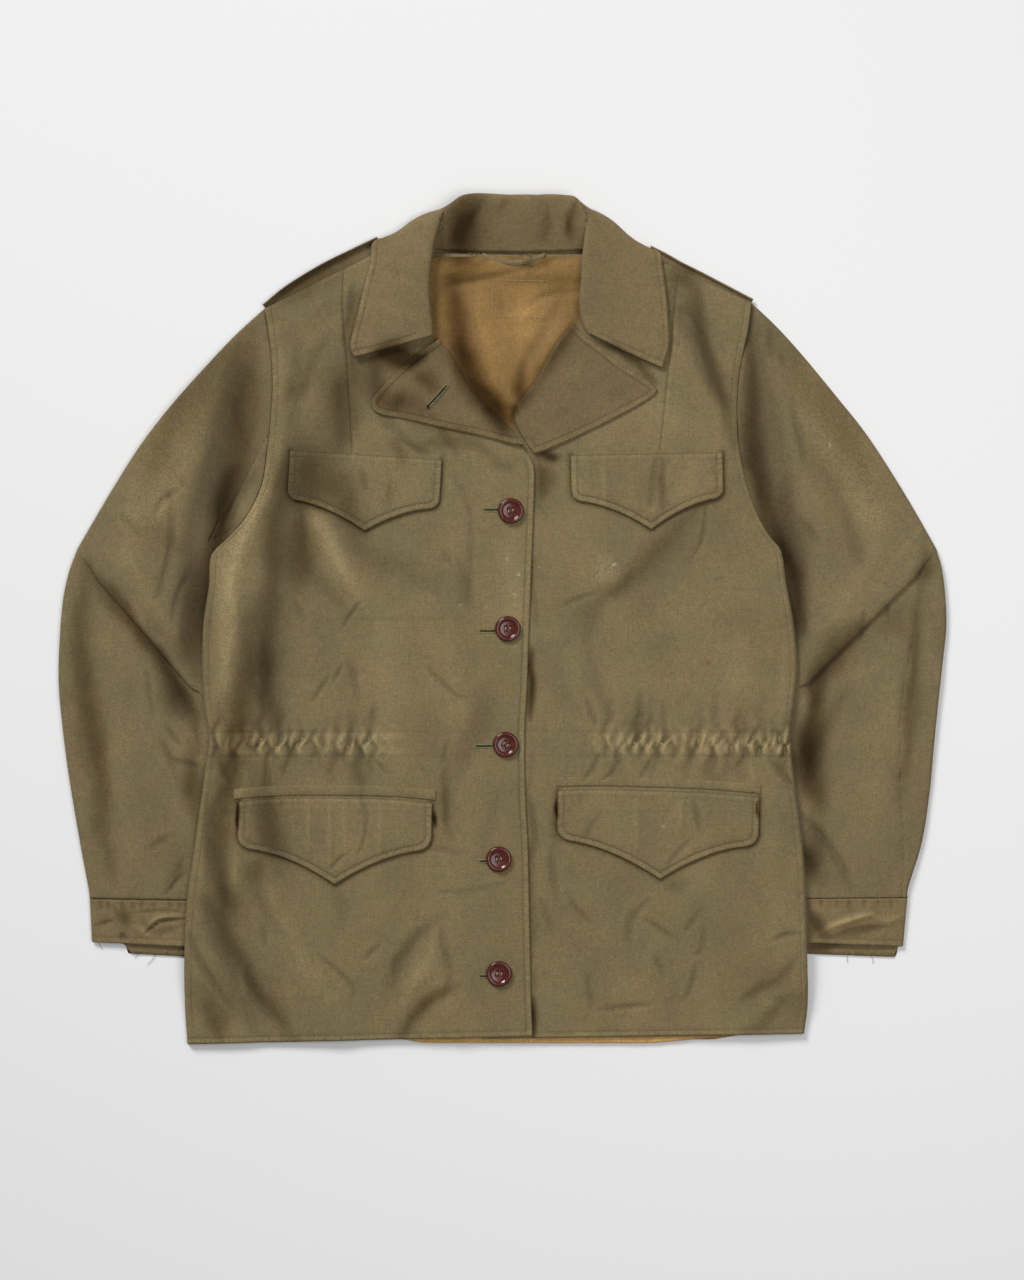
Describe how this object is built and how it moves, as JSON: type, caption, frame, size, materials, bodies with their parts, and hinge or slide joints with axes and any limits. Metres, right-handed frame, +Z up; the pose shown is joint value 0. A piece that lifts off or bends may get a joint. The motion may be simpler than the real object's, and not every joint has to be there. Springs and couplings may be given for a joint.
{
  "type": "field jacket",
  "caption": "Women's cotton field jacket laid flat and buttoned: notched lapels, gathered waist, pointed pocket flaps, sleeves folded at the elbow.",
  "frame": {"origin": "centre of the bounding box at the surface the jacket lies on", "axes": "+X towards the wearer's left sleeve, +Y from hem to collar, +Z up from the surface, out of the jacket's front"},
  "size_m": [0.8, 0.7639, 0.0206],
  "materials": {
    "cotton_olive": "matte",
    "cotton_olive_faded": "matte",
    "lining_tan": "matte",
    "button_brown": "gloss"
  },
  "bodies": {
    "root": {"back": "cotton_olive", "right_front": "cotton_olive", "left_front": "cotton_olive", "right_sleeve": "cotton_olive", "left_sleeve": "cotton_olive", "right_hip_welt": "cotton_olive", "left_hip_welt": "cotton_olive", "hanger_loop": "cotton_olive", "collar": "cotton_olive_faded", "right_lapel": "cotton_olive_faded", "left_lapel": "cotton_olive_faded", "right_cuff": "cotton_olive_faded", "left_cuff": "cotton_olive_faded", "right_shoulder_strap": "cotton_olive_faded", "left_shoulder_strap": "cotton_olive_faded", "right_chest_flap": "cotton_olive_faded", "left_chest_flap": "cotton_olive_faded", "right_hip_flap": "cotton_olive_faded", "left_hip_flap": "cotton_olive_faded", "back_lining": "lining_tan", "button_1": "button_brown", "button_2": "button_brown", "button_3": "button_brown", "button_4": "button_brown", "button_5": "button_brown"}
  },
  "joints": []
}
